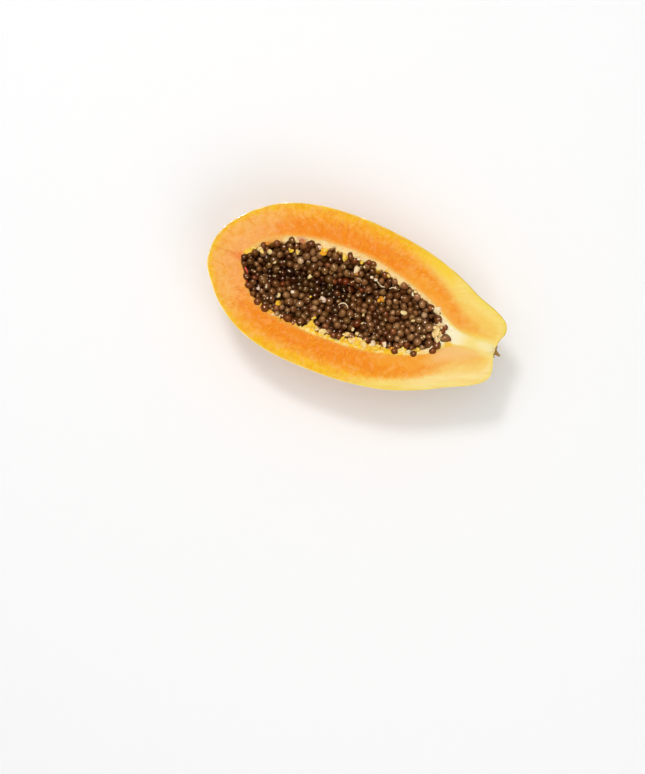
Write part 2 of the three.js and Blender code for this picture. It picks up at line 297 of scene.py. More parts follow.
class Finish:
    """A material under construction: node() adds any node, and the other methods shorten the usual ones.
    colour is the surface's colour so far, which paint() goes over."""

    def __init__(self, name):
        self.colour = None
        self.material = bpy.data.materials.new(name)
        self.material.use_nodes = True
        self.tree = self.material.node_tree
        self.shader = self.tree.nodes["Principled BSDF"]
        self.place = self.node("TexCoord", output="Object")
        self.x, self.y, self.z = (
            self.node("SeparateXYZ", inputs={0: self.place}, output=axis) / MM for axis in ("X", "Y", "Z"))

    def connect(self, socket, value):
        """Links a value to a socket, or sets the socket where the value is the same all over."""
        if isinstance(value, Value):
            self.tree.links.new(value.socket, socket)
        elif socket.type == "RGBA":
            socket.default_value = (*value, 1)
        else:
            socket.default_value = value

    def node(self, kind, settings=None, inputs=None, output=0):
        """Adds a shader node of a kind, with its settings first, then the values or links of its sockets."""
        made = self.tree.nodes.new("ShaderNode" + kind)
        for key, setting in (settings or {}).items():
            setattr(made, key, setting)
        for key, value in (inputs or {}).items():
            self.connect(made.inputs[key], value)
        return Value(self, made.outputs[output])

    def maths(self, operation, first, second):
        return self.node("Math", {"operation": operation}, {0: first, 1: second})

    def attribute(self, name):
        """A number that the mesh holds for each of its points."""
        return self.node("Attribute", {"attribute_name": name}, output="Fac")

    def noise(self, size, detail=2.0, roughness=0.5, at=None):
        """Soft random pattern from 0 to 1, whose spots are about a size across in millimetres."""
        scale = 1 / (size * MM)
        inputs = {"Vector": at or self.place, "Scale": scale, "Detail": detail, "Roughness": roughness}
        return self.node("TexNoise", inputs=inputs, output="Fac")

    def grains(self, size, width, at=None):
        """Dots scattered about a size apart in millimetres: 1 at the middle of each, 0 past its width, which
        is a share of the size."""
        inputs = {"Vector": at or self.place, "Scale": 1 / (size * MM)}
        return self.node("TexVoronoi", inputs=inputs, output="Distance").rise(width, width / 3)

    def blend(self, share, colour, other):
        """Goes from one colour to the other as share goes from 0 to 1. The Mix node's colours are its inputs
        6 and 7 and its output 2."""
        return self.node("Mix", {"data_type": "RGBA"}, {0: share, 6: colour, 7: other}, output=2)

    def paint(self, share, other):
        """Lays another colour over the finish's colour so far, fully where share is 1."""
        self.colour = self.blend(share, self.colour, other)

    def paint_spot(self, x, y, half_length, half_width, share, other):
        """Lays a share of another colour over an ellipse on the cut face, which has a soft edge."""
        across, up = (self.x - x) / half_length, (self.y - y) / half_width
        self.paint((across * across + up * up).rise(1.5, 0.2) * share, other)

    def layers(self, position, stops):
        """Goes through several colours, each given with the position at which it is reached."""
        colour = stops[0][1]
        for (low, _), (high, other) in zip(stops, stops[1:]):
            colour = self.blend(position.rise(low, high), colour, other)
        return colour

    def relief(self, height):
        """Surface normals for a small relief, whose height is in millimetres."""
        self.set(Normal=self.node("Bump", inputs={"Height": height, "Distance": MM}))

    def set(self, **sockets):
        """Sets sockets of the shader: an underscore in a name stands for a space."""
        for key, value in sockets.items():
            self.connect(self.shader.inputs[key.replace("_", " ")], value)


def flesh_finish():
    """Ripe flesh: from the rind to the cavity it goes from yellow through peach to deep orange. The blossom
    end is peach, and the stalk end is less ripe and yellower. Fibres run outwards from the cavity."""
    flesh = Finish("papaya_flesh")
    wander = flesh.noise(13, 3) - 0.5
    mottle = flesh.noise(2.2, 3, 0.6)
    from_rind = flesh.attribute("from_rind")
    from_cavity = flesh.attribute("from_cavity")
    depth = from_rind / (from_rind + from_cavity) + wander * 0.22 + (mottle - 0.5) * 0.12

    # The fibres' pattern is read at each point's direction from the cavity's middle, so they run outwards.
    squeezed = flesh.node("Mapping", inputs={
        "Vector": flesh.place, "Location": (-0.14, 0, 0), "Scale": (8.2, 15.4, 0),
    })
    heading = flesh.node("VectorMath", {"operation": "NORMALIZE"}, {0: squeezed}, output="Vector")
    rings = flesh.node("CombineXYZ", inputs={"Z": from_rind * 0.0006})
    fibre_place = flesh.node("VectorMath", {"operation": "MULTIPLY_ADD"}, {
        0: heading, 1: (0.11, 0.11, 0.11), 2: rings,
    }, output="Vector")
    fibres = flesh.noise(1.8, 2, at=fibre_place)

    middle = flesh.layers(depth, [
        (0.0, srgb(242, 190, 6)), (0.12, srgb(247, 187, 0)), (0.26, srgb(248, 170, 26)),
        (0.44, srgb(246, 153, 30)), (0.62, srgb(244, 136, 0)), (0.85, srgb(244, 137, 0)),
    ])
    blossom = flesh.layers(depth, [
        (0.0, srgb(244, 194, 6)), (0.1, srgb(246, 189, 26)), (0.22, srgb(246, 180, 86)),
        (0.85, srgb(246, 170, 94)),
    ])
    stalk = flesh.layers(depth, [
        (0.0, srgb(246, 218, 92)), (0.2, srgb(249, 218, 118)), (0.5, srgb(247, 202, 94)),
        (0.85, srgb(246, 183, 76)),
    ])
    shaded = flesh.layers(depth, [
        (0.0, srgb(248, 223, 130)), (0.25, srgb(251, 226, 152)), (0.46, srgb(248, 210, 118)),
        (0.64, srgb(247, 190, 96)), (0.85, srgb(247, 194, 118)),
    ])
    side = flesh.y.rise(-8, 8)
    along = flesh.x + wander * 24
    flesh.colour = flesh.blend((along + (1 - side) * 10).rise(-74, -44), blossom, middle)
    lower_rim = depth.rise(0.38, 0.2) * (1 - side) * along.rise(-60, -15)
    flesh.paint(lower_rim * 0.7, srgb(249, 197, 36))
    patches = flesh.noise(8, 3, 0.55)
    ripest = depth.rise(0.35, 0.6) * along.rise(-66, -46) * flesh.x.rise(60, 20)
    flesh.paint(patches.rise(0.48, 0.62) * (0.42 - ripest * 0.28), srgb(248, 174, 70))
    flesh.paint(patches.rise(0.5, 0.36) * ripest * 0.55, srgb(243, 128, 0))
    clouds = flesh.noise(4.2, 2)
    flesh.paint(clouds.rise(0.5, 0.64) * (0.34 - ripest * 0.12), srgb(252, 188, 110))
    flesh.paint(clouds.rise(0.5, 0.36) * 0.4, srgb(243, 146, 4))
    torn = flesh.noise(14, 2).rise(0.44, 0.6) * depth.rise(0.15, 0.4)
    flesh.paint(mottle.rise(0.5, 0.72) * 0.3, srgb(236, 128, 4))
    flesh.paint(fibres.rise(0.5, 0.72) * (0.25 + torn * 0.35), srgb(253, 176, 44))
    flesh.paint(fibres.rise(0.48, 0.3) * (0.15 + torn * 0.35), srgb(232, 116, 4))
    ripe_ring = depth.rise(0.35, 0.65) * flesh.x.rise(80, 50)
    grains = flesh.grains(1.7, 0.34) * flesh.noise(9, 1).rise(0.42, 0.6) * ripe_ring
    flesh.paint(grains * 0.35, srgb(222, 96, 10))

    fan = flesh.node("Mapping", {"vector_type": "TEXTURE"}, {
        "Vector": flesh.place, "Rotation": (0, 0, 0.35), "Scale": (8, 1, 2),
    })
    streaks = flesh.noise(2.6, 3, 0.55, at=fan)
    turning = (37 + depth.rise(0.12, 0.5) * 62) * (1 - side) + (56 + depth.rise(0.2, 0.75) * 54) * side
    less_ripe = flesh.blend(flesh.y.rise(-4, -18) * along.rise(60, 96), stalk, shaded)
    less_ripe = flesh.blend(streaks.rise(0.35, 0.7) * 0.35, less_ripe, srgb(247, 192, 88))
    less_ripe = flesh.blend(patches.rise(0.5, 0.7) * 0.35, less_ripe, srgb(251, 221, 126))
    deep_yellow = depth.rise(0.45, 0.15) * side * along.rise(100, 82)
    less_ripe = flesh.blend(deep_yellow * 0.8, less_ripe, srgb(248, 204, 30))
    band = (flesh.y + 12 - (flesh.x - 110) * 0.32) / 9 + (streaks - 0.5) * 2.4
    peach = band.rise(1, 0) * band.rise(-1, 0) * flesh.x.rise(60, 84) * flesh.x.rise(134, 118)
    less_ripe = flesh.blend(peach * 0.55, less_ripe, srgb(247, 182, 100))
    flesh.paint((along - turning).rise(-26, 26), less_ripe)
    pale_neck = depth.rise(0.62, 0.86) * (1 - side) * flesh.x.rise(82, 98) * flesh.x.rise(140, 124)
    flesh.paint(pale_neck * 0.7, srgb(247, 198, 124))

    seam = 2.4 + side + flesh.x.rise(66, 92) * flesh.x.rise(112, 96) * side * 3.5
    beside_lining = (from_cavity + (mottle - 0.5) * 3) / seam
    flesh.paint(beside_lining.rise(1, 0) * (0.25 + side * 0.5), srgb(248, 184, 88))
    brighter = depth.rise(0.5, 0.8) * flesh.x.rise(38, 58) * flesh.x.rise(102, 86)
    flesh.paint(brighter * 0.5, srgb(249, 174, 54))
    beside_core = from_cavity.rise(6, 0) * flesh.x.rise(98, 124)
    flesh.paint(beside_core * flesh.y.rise(-4, 2), srgb(248, 210, 88))
    flesh.paint(beside_core * flesh.y.rise(2, -4) * 0.5, srgb(249, 212, 116))
    flesh.paint_spot(134, 0.5, 13, 8, 0.8, srgb(250, 224, 134))
    flesh.paint_spot(131.5, 1, 9, 3.6, 0.42, srgb(254, 241, 196))
    across = (flesh.y - 2) / ((flesh.x + 94) * 0.35 + 0.5)
    blush = (across * across + (mottle - 0.5)).rise(1, 0) * flesh.x.rise(-92, -82) * flesh.x.rise(-72, -78)
    flesh.paint(blush * 0.6, srgb(240, 116, 50))
    crease = (flesh.y - 2.4 + (mottle - 0.5) * 1.5).rise(0.9, 0) * (flesh.y - 2.4).rise(-0.9, 0)
    flesh.paint(crease * flesh.x.rise(-80, -88) * 0.3, srgb(206, 112, 44))
    flesh.set(Base_Color=flesh.colour, Roughness=0.5 + (mottle - 0.5) * 0.25, Specular_IOR_Level=0.06)
    flesh.set(Subsurface_Weight=0.15, Subsurface_Radius=(1, 0.4, 0.15), Subsurface_Scale=0.003)
    firmer = flesh.x.rise(50, 92)
    roughened = fibres * (0.1 + torn * 0.22) + mottle * 0.18 + flesh.noise(0.8, 1) * 0.06
    flesh.relief(roughened * (1 - firmer * 0.65))
    return flesh.material


flesh.data.materials.append(flesh_finish())
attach(flesh, "root")
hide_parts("flesh")

# ---------------------------------------------------------------- rind
# The thin smooth skin, yellow when ripe, still a little green at the stalk. It is grown on to the flesh and
# was cut with it, so its edge shows as a fine yellow line round the cut face.

WELD_LIFT = (0, 0, 0.02)
rind_points, rind_triangles = welded(
    (pressed_flat(skin), True),
    (pressed_flat(under_skin) + WELD_LIFT, False),
    (np.stack([skin[:, 0], under_skin[:, 0] + WELD_LIFT], 1), False),
    (np.stack([skin[:, -1], under_skin[:, -1] + WELD_LIFT], 1), True),
)
rind = add_piece("papaya_rind", rind_points, rind_triangles)


def rind_finish():
    """Smooth waxy skin: yellow, greener towards the stalk, with faint mottling and small brown specks."""
    rind = Finish("papaya_rind")
    clouds = rind.noise(26, 3)
    mottle = rind.noise(3.2, 3, 0.6)
    green = (rind.x + (clouds - 0.5) * 120).rise(40, 150)
    rind.colour = rind.blend(clouds.rise(0.35, 0.65), srgb(240, 178, 40), srgb(236, 152, 26))
    rind.paint(green * 0.65, srgb(196, 186, 60))
    rind.paint(mottle.rise(0.45, 0.7) * 0.3, srgb(248, 200, 76))
    cut_edge = rind.z.rise(FACE_Z - 1.2, FACE_Z - 0.2)
    # The cut edge is painted lighter on the -Y side and darker on the +Y side: painted light and painted
    # shade.
    rind.paint(cut_edge, rind.blend(rind.y.rise(-10, 10), srgb(254, 216, 84), srgb(228, 184, 30)))
    specks = rind.grains(7, 0.1) * rind.noise(30, 1).rise(0.5, 0.6)
    rind.paint(specks * 0.7, srgb(140, 92, 40))
    rind.set(Base_Color=rind.colour, Roughness=0.38 + (mottle - 0.5) * 0.2)
    rind.set(Coat_Weight=0.12, Specular_IOR_Level=0.35)
    rind.set(Subsurface_Weight=0.1, Subsurface_Radius=(1, 0.5, 0.2), Subsurface_Scale=0.002)
    rind.relief(mottle * 0.05 + clouds * 0.3 - specks * 0.06)
    return rind.material


rind.data.materials.append(rind_finish())
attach(rind, "root")
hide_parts("flesh")

# ---------------------------------------------------------------- lining
# The pale stringy pulp between the flesh and the seeds. Past the seeds it narrows to the core of fibres that
# feeds the fruit from its stalk. It grew with the flesh, and tongues of it reach in between the seeds.

HOLLOW_OUTLINE = np.array([
    (-79.5, 0, 0), (-74.2, 8.8, 8.4), (-63, 19.2, 20.8), (-48, 27, 30), (-28, 32.4, 33.8), (-4, 33.8, 34.4),
    (21, 32.6, 33.6), (44, 27.6, 30.4), (65, 21.8, 25.6), (78, 17.2, 20.4), (86, 10.4, 17),
    (90.4, 3.6, 11), (92, 0, 0),
])
LINING_STEPS = 560
HOLLOW_STEPS = 40

# Places along the cavity's edge, and those along the hollow's edge that lie across the lining from them.
CAVITY_STATIONS = (-80, -60, 76, 95, 112, 136.4)
HOLLOW_STATIONS = (-79.5, -60, 76, 86, 90.4, 92)

# Tongues on the +Y and on the -Y side: x, how far they reach towards the seeds, and half their width. Where
# the reach is negative, the hollow is wider.
TONGUES = (
    ((-66, -1.5, 8), (-19, 5, 3.4), (-1, 5, 2.8), (26, 1.5, 5), (47, 2, 4), (60, -1.5, 9)),
    ((-66, -2.2, 9), (-9, 5, 3.4), (31, 5, 8), (48, 3.5, 5), (69, 4, 2.6), (73, -2, 4)),
)

lining_share = np.linspace(0, 1, LINING_STEPS + 1)
dense = np.linspace(0, 1, 2001)


def hollow_side(side, tongues, seed):
    """The hollow's edge across the lining from each point of the cavity's edge: at the same x beside the
    seeds, and bunched up towards its stalk end where the lining runs on. Tongues reach in, and the edge
    between them is ragged by a millimetre or so."""
    cavity_x = outline_side(CAVITY_OUTLINE, lining_share, side)[:, 0]
    curve = outline_side(HOLLOW_OUTLINE, dense, side)
    x = np.interp(cavity_x, CAVITY_STATIONS, HOLLOW_STATIONS)
    width = np.interp(x, curve[:, 0], np.abs(curve[:, 1]))
    ragged = 1 + 0.03 * waves(x, 0 * x, 9, seed) + 0.03 * waves(x, 0 * x, 3.4, seed + 1)
    for middle, reach, half_width in tongues:
        ragged = ragged - reach / np.maximum(width, 6) * np.exp(-(((x - middle) / half_width) ** 2))
    return np.stack([x, side * width * ragged], -1)


hollow_sides = [hollow_side(side, tongues, seed) for side, tongues, seed in zip((1, -1), TONGUES, (21, 31))]
pulp_sides = [outline_side(CAVITY_OUTLINE, lining_share, side) for side in (1, -1)]
hollow_wall = bowl(*hollow_sides, half_turn(HOLLOW_STEPS), cavity_factor, CAVITY_DEPTH)
lining_back = bowl(*pulp_sides, half_turn(WALL_STEPS), cavity_factor, CAVITY_DEPTH)


def lining_relief(x, y, inside):
    """Height of the lining's top over the cut face: level at its outer edge, sinking towards the seeds, with
    strands that run along the fruit and soft tufts. inside goes from 0 at the outer edge to 1 at the
    hollow."""
    strands = waves(x * 0.15, y, 1.8, 41, 20)
    tufts = (0.5 + 0.3 * smooth(-18, -28, y)) * waves(x, y, 4.8, 42, 20) + 0.15 * waves(x, y, 2.2, 43, 24)
    seeds_near = smooth(112, 92, x)
    sinking = smooth(0, 1.6, inside) * (0.05 + 1.3 * seeds_near)
    unevenness = 0.06 * strands + tufts * (0.06 + 0.94 * seeds_near)
    return face_relief(x, y) + 0.02 - sinking + smooth(0.1, 0.9, inside) * unevenness


def lining_strip(outer_rim, inner_rim, columns=27):
    """The lining's top between its outer and inner edges. It reaches a little under the flesh."""
    mix = np.linspace(-0.05, 1, columns)[None, :] + np.zeros((len(outer_rim), 1))
    flat = outer_rim[:, None, :2] * (1 - mix[..., None]) + inner_rim[:, None, :2] * mix[..., None]
    height = FACE_Z + lining_relief(flat[..., 0], flat[..., 1], np.maximum(mix, 0))
    return np.concatenate([flat, height[..., None]], -1)


upper_lining = lining_strip(lining_back[:, 0], hollow_wall[:, 0])
lower_lining = lining_strip(lining_back[:, -1], hollow_wall[:, -1])
hollow_wall[:, 0], hollow_wall[:, -1] = upper_lining[:, -1], lower_lining[:, -1]
lining_back[:, 0], lining_back[:, -1] = upper_lining[:, 0], lower_lining[:, 0]
lining_points, lining_triangles = welded(
    (upper_lining, False),
    (lower_lining, True),
    (lining_back, True),
    (hollow_wall, False),
)
lining = add_piece("papaya_lining", lining_points, lining_triangles, {
    "from_cavity": distance_to(lining_points, CAVITY_OUTLINE),
})


def lining_finish():
    """Soft cream pulp with strands along the fruit. Where it meets the flesh it is orange, and so is the thin
    rim at the blossom end. Its tongues are yellow, and the core of fibres near the stalk is nearly white."""
    lining = Finish("papaya_lining")
    stretched = lining.node("Mapping", inputs={"Vector": lining.place, "Scale": (0.15, 1, 1)})
    strands = lining.noise(0.9, 3, 0.6, at=stretched)
    mottle = lining.noise(2.6, 3, 0.6)
    from_cavity = lining.attribute("from_cavity") + (mottle - 0.5) * 2.5
    below = lining.z.rise(FACE_Z - 1.5, FACE_Z - 5)
    lining.colour = lining.blend(from_cavity.rise(-0.6, 3), srgb(248, 190, 98), srgb(250, 214, 148))
    lining.paint(strands.rise(0.42, 0.68) * 0.5, srgb(252, 228, 174))
    clumps = lining.noise(4.5, 2)
    yellow = lining.blend(clumps.rise(0.42, 0.58), srgb(249, 196, 30), srgb(252, 222, 130))
    lining.paint(from_cavity.rise(4, 6.5) * lining.x.rise(60, 40), yellow)
    lower = (lining.y + (mottle - 0.5) * 8).rise(-8, -20)
    ripe = lining.blend(from_cavity.rise(-0.5, 2), srgb(244, 152, 38), srgb(247, 178, 62))
    ripe = lining.blend(from_cavity.rise(-0.4, 1.6) * lining.x.rise(-26, -8), ripe, yellow)
    lining.paint(lower * lining.x.rise(88, 76), ripe)
    blossom = (lining.x + (mottle - 0.5) * 10).rise(-50, -58)
    lining.paint(blossom * 0.85, srgb(246, 170, 76))
    lining.paint_spot(-75.5, 9.5, 5.5, 5, 0.8, srgb(249, 198, 66))
    lining.paint_spot(-69, 15, 6, 3.4, 0.7, srgb(246, 202, 120))
    neck = lining.x.rise(80, 98)
    core = lining.blend(lining.x.rise(104, 118), srgb(253, 238, 196), srgb(250, 222, 134))
    soft_edge = from_cavity.rise(0, 2.4)
    lining.paint(neck * soft_edge, core)
    rim = lining.blend(lining.x.rise(116, 128), srgb(249, 214, 112), srgb(250, 224, 134))
    lining.paint(neck * (1 - soft_edge), rim)
    lining.paint_spot(131.5, 1, 9, 3.6, 0.42, srgb(254, 241, 196))
    lining.paint_spot(90, -2, 6, 9, 0.7, srgb(246, 212, 154))
    lining.paint_spot(96, -14, 6, 5, 0.8, srgb(247, 208, 106))
    lining.paint_spot(101.5, -8, 4, 3.4, 0.9, srgb(245, 190, 30))
    lining.paint_spot(-39, 32, 5, 2.4, 0.7, srgb(214, 138, 104))
    stained = mottle.rise(0.56, 0.72) * lining.x.rise(100, 70)
    lining.paint(stained * 0.3, srgb(226, 156, 88))
    level = lining.node("Mapping", inputs={"Vector": lining.place, "Scale": (1, 1, 0)})
    specks = lining.grains(3, 0.2, at=level) * lining.noise(9, 1).rise(0.5, 0.58) * from_cavity.rise(0.4, 1.8)
    lining.paint(specks * neck.rise(1, 0) * 0.7, srgb(124, 76, 36))
    # Down the hollow's wall, under the cut face, the lining is painted darker orange: painted shade.
    lining.paint(below * 0.6, srgb(224, 138, 52))
    lining.set(Base_Color=lining.colour, Roughness=0.5 + (strands - 0.5) * 0.2, Specular_IOR_Level=0.08)
    lining.set(Subsurface_Weight=0.25, Subsurface_Radius=(1, 0.6, 0.3), Subsurface_Scale=0.002)
    lining.relief((strands * 0.2 + mottle * 0.15) * (1 - neck * 0.8))
    return lining.material


lining.data.materials.append(lining_finish())
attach(lining, "root")
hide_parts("lining")

# ---------------------------------------------------------------- pulp among the seeds
# Tufts of yellow and cream pulp and pale seeds that never grew. They lie loose in the top of the heap and
# along the lining, and the ripe seeds settle round them.

HEAP_VALLEY_DEPTH = 14.0
HEAP_MIDDLE_X = 4
HEAP_HALF_LENGTH = 86


def hollow_widths(x):
    """Half-widths of the hollow at x on the +Y and the -Y side."""
    return [np.interp(x, side[:, 0], np.abs(side[:, 1])) for side in hollow_sides]


def heap_top(x, y):
    """Height of the seeds' tops: level along the walls, with soft lumps and a valley along the fruit, which
    swings towards +Y in the middle: its y is 3 + 11 * exp(-((x - 12) / 26)^2)."""
    upper, lower = hollow_widths(x)
    valley = np.clip(3 + 11 * np.exp(-(((x - 12) / 26) ** 2)), -0.5 * lower, 0.5 * upper)
    reach = np.where(y > valley, upper - valley, lower + valley)
    away = np.minimum(np.abs(y - valley) / np.maximum(reach, 1), 1)
    depth = HEAP_VALLEY_DEPTH * np.maximum(1 - ((x - HEAP_MIDDLE_X) / HEAP_HALF_LENGTH) ** 2, 0) ** 0.8
    lumps = 1.5 * waves(x, y, 17, 51) + 1.0 * waves(x, y, 9, 52)
    return FACE_Z + 0.7 - depth * (1 - away**1.6) + lumps


# Each bit is x, y, its half-axes, and its tint from red (-0.6) through orange, yellow and cream to white (1).
PULP_BITS = np.array([
    (11.3, 24.4, 2.7, 3.6, 2.2, 0.85), (11.4, 21.4, 2.4, 1.6, 1.8, 0.1), (38.7, 9.3, 3.3, 2.7, 2.6, 0.24),
    (59, 4.7, 2.1, 3, 1.8, 0.75), (68.3, 1, 1.8, 2, 1.4, 0.72),
    (44, -27.3, 2, 3.7, 1.6, 0.95), (53, -25.3, 2.6, 2.8, 1.9, 0.95),
    (24.5, -22.5, 1.2, 1.7, 1.2, 0.8), (28.8, -24.4, 1.7, 1.9, 1.3, 0.7), (9.5, 32.7, 1.3, 1.4, 1.2, 1.0),
    (60.5, 21, 1.2, 1.7, 1.1, 1.0), (30.2, -15, 1.7, 1.5, 1.2, 0.75), (28.7, -8.3, 1.8, 1.4, 1.1, 0.65),
    (24.8, 22.7, 1.6, 1.4, 1.2, 1.05), (28.5, 22, 2.2, 1.7, 1.3, 1.0), (37, 28, 1.8, 1.8, 1.3, 0.6),
    (-44, 20.2, 3.4, 1.8, 2, 0.44), (-39.4, 21.8, 1.6, 2.6, 1.7, 0.54), (-60.5, 13.5, 2.3, 2.6, 1.8, 0.7),
    (-68.5, 13, 3.8, 2.4, 1.8, 0.62), (-64, 19, 2.6, 1.6, 1.3, 0.12), (-76.8, 8.4, 3, 3.4, 1.4, 0.42),
    (-73.6, 11.8, 2.4, 1.7, 1.3, 0.5), (92.4, -1.6, 2.2, 2.4, 1.4, 0.7), (86.8, 1.6, 1.8, 1.6, 1.3, 0.75),
    (-23.3, 6.3, 1.4, 2.4, 1.3, 0.7), (-6.5, -7, 2.7, 3.2, 2.2, 1.1), (-32, -10.3, 1.6, 1.5, 1.4, 0.9),
    (-59, -17.6, 1.6, 1.6, 1.3, 1.1), (-53.3, -14.2, 1.2, 1.8, 1.2, 1.0), (-41.3, -17, 1.9, 2.2, 1.5, 0.72),
    (-39.6, -23, 2.4, 4.4, 2, 0.32), (-16.7, -9, 1.1, 1.1, 1, 0.45), (-40.8, -33.6, 3, 1.4, 1.1, 0.9),
    (-53.4, 7.3, 1.4, 1.4, 1.2, 0.7), (-23.3, 31, 2.4, 1.8, 1.3, 1.0), (-18.8, 27.4, 2.7, 4, 2, 0.32),
    (-1.5, 30, 2, 3.6, 1.7, 0.5), (-39, 30.6, 4, 1.8, 1.4, 0.1), (16.5, 28.8, 1.4, 1.3, 1, 0.75),
    (-8, -30.4, 3.2, 4, 2, 0.4), (-8.6, -25, 1.8, 2.4, 1.5, 0.5), (-35, -33.8, 3, 0.9, 1, 0.7),
    (-3, -32.4, 2.8, 2.4, 1.6, 0.6), (2.6, -32.4, 3.4, 2.6, 1.9, 0.66), (21, -28.6, 1.5, 3.6, 1.3, 0.6),
    (18.6, -33.4, 4, 1.7, 1.2, 0.34), (26.4, -31.6, 3, 3.6, 2, 0.62), (31.4, -31.4, 2.6, 2.8, 1.7, 0.46),
    (36.7, -31.6, 3.6, 3.8, 2.2, 0.64), (42.4, -31.6, 3, 2, 1.5, 0.42), (48, -30.4, 4, 2.2, 1.6, 0.38),
    (54.4, -28.6, 3.6, 2, 1.5, 0.42), (60, -26.4, 2.4, 2, 1.4, 0.2), (69.2, -18.8, 1.5, 3.6, 1.4, 0.62),
    (72.8, -23.8, 2.5, 2.2, 1.6, 0.85), (88.6, -1.8, 4.6, 4.6, 2, 0.78), (90.8, -7, 4.6, 4.2, 2, 0.76),
    (90.4, 4.8, 4.4, 3.4, 1.8, 0.78), (84.2, 15.4, 3.6, 3.2, 2, 0.86), (-73.2, -6.4, 2.7, 2.9, 1.2, -0.3),
    (-69, -15.9, 2, 1.5, 1, -0.6), (81, -8, 1.2, 1, 1, 0.8),
])
LOBES = 2
BORDER_TUFTS = 12
TUFT_DEPTH = 0.7  # how far a tuft's middle lies under the cut face at least

# Pale threads that once held seeds lie across the heap: the places that each passes over.
THREADS = (
    ((6.6, -8), (8.6, -5.4), (11, -4.5), (13.6, -5.6), (15.4, -8)),
    ((29, 21.6), (32, 20), (35, 18.8), (38, 19.4)),
    ((41, 18.6), (43, 20.4), (45, 20.8), (47, 20.4)),
)


def border_tufts(draw, count):
    """Soft tufts along the hollow's -Y edge, where the pulp is torn most, and a few along its +Y edge."""
    x = draw.uniform(-14, 80, count)
    side = np.where(draw.uniform(0, 1, count) < 0.7, -1, 1)
    upper, lower = hollow_widths(x)
    y = np.where(side > 0, upper, -lower) - side * draw.uniform(-0.6, 1.4, count)
    size = draw.uniform(1.0, 1.8, count)
    stretch = draw.uniform(0.8, 1.4, (count, 3))
    tint = draw.uniform(0.36, 0.7, (count, 1))
    return np.concatenate([x[:, None], y[:, None], size[:, None] * stretch, tint], 1)


def egg_template(lengthways, round_about):
    """A small egg of radius 1 as points and triangles: rings from the narrower pole to the blunt one, each
    turned by half a step against the last. Its width is sin(polar) * (1 - 0.12 * cos(polar))."""
    polar = np.linspace(0, np.pi, lengthways + 1)[:, None]
    half_steps = np.arange(lengthways + 1)[:, None] * np.pi / round_about
    turn = np.linspace(0, 2 * np.pi, round_about + 1)[None, :] - half_steps
    width = np.sin(polar) * (1 - 0.12 * np.cos(polar))
    grid = np.stack([np.cos(polar) + 0 * turn, width * np.cos(turn), width * np.sin(turn)], -1)
    return welded((grid, False))


def scattered(template, centres, half_axes, draw, unevenness, tumble=1.0):
    """Copies of a template in one mesh, each stretched to its half-axes, dented by three random waves, turned
    at random (fully where tumble is 1, hardly where it is near 0) and moved to its centre. The turn is a
    quaternion, written out as a matrix."""
    points, triangles = template
    count = len(centres)
    spin = np.concatenate([np.ones((count, 1)), draw.normal(size=(count, 3)) * 2], 1)
    spin = spin * (1, tumble, tumble, tumble)
    w, x, y, z = (spin / np.linalg.norm(spin, axis=1, keepdims=True)).T
    turned = np.stack([
        1 - 2 * (y * y + z * z), 2 * (x * y - w * z), 2 * (x * z + w * y),
        2 * (x * y + w * z), 1 - 2 * (x * x + z * z), 2 * (y * z - w * x),
        2 * (x * z - w * y), 2 * (y * z + w * x), 1 - 2 * (x * x + y * y),
    ], -1).reshape(count, 3, 3)
    waviness = draw.normal(size=(count, 3, 3))
    phase = draw.uniform(0, 6, (count, 1, 3))
    dents = np.sin(np.einsum("nij,pj->npi", waviness, points) * 2.2 + phase).sum(-1)
    shape = points[None] * (1 + unevenness * dents[..., None] / 1.7) * half_axes[:, None, :]
    placed = np.einsum("nij,npj->npi", turned, shape) + centres[:, None, :]
    faces = triangles[None] + (np.arange(count) * len(points))[:, None, None]
    return placed.reshape(-1, 3), faces.reshape(-1, 3)


def height_in_copy(points, centres):
    """How high each point lies in its own copy of a template: 1 at the copy's top, -1 at its bottom."""
    height = points[:, 2].reshape(len(centres), -1) - centres[:, 2:]
    return (height / np.abs(height).max(1, keepdims=True)).ravel()


def tube(path, radius, sides=6):
    """A round tube along a path, which thins to a point at both ends: its radius is
    radius * sqrt(1 - (2 s - 1)^2) at the share s of its length."""
    along = np.gradient(path, axis=0)
    side = np.cross(along, (0, 0, 1.0))
    up = np.cross(side, along)
    side, up = (way / np.linalg.norm(way, axis=1, keepdims=True) for way in (side, up))
    thickness = radius * np.sqrt(np.maximum(1 - np.linspace(-1, 1, len(path)) ** 2, 0))
    turn = np.linspace(0, 2 * np.pi, sides + 1)[None, :, None]
    around = side[:, None] * np.cos(turn) + up[:, None] * np.sin(turn)
    return path[:, None] + around * thickness[:, None, None]


def joined(*bodies):
    """Several meshes, each given as points and triangles, as one."""
    starts = np.cumsum([0] + [len(points) for points, _ in bodies])
    faces = [triangles + start for (_, triangles), start in zip(bodies, starts)]
    return np.concatenate([points for points, _ in bodies]), np.concatenate(faces)


def route(places, steps):
    """A number of points along a smooth open line through places."""
    places = np.array([places[0], *places, places[-1]], float)
    return curve_through(places, np.linspace(1, len(places) - 2.001, steps))


def thread(places, radius=0.5, steps=22):
    """A thin soft tube over the seeds' tops, through the places."""
    flat = route(places, steps)
    height = heap_top(flat[:, 0], flat[:, 1]) + 0.3 + 0.4 * waves(flat[:, 0], flat[:, 1], 5, 61)
    return welded((tube(np.concatenate([flat, height[:, None]], 1), radius), True))


pulp_draw = np.random.default_rng(5)
tufts = np.concatenate([PULP_BITS, border_tufts(pulp_draw, BORDER_TUFTS)])
tuft_x, tuft_y = tufts[:, 0], tufts[:, 1]
at_ends = np.abs(tuft_x - HEAP_MIDDLE_X) > 0.9 * HEAP_HALF_LENGTH
in_heap = heap_top(tuft_x, tuft_y) - 0.1 * tufts[:, 4]
tuft_z = np.minimum(np.where(at_ends, FACE_Z, in_heap), FACE_Z - TUFT_DEPTH)
tuft_centres = np.stack([tuft_x, tuft_y, tuft_z], -1)

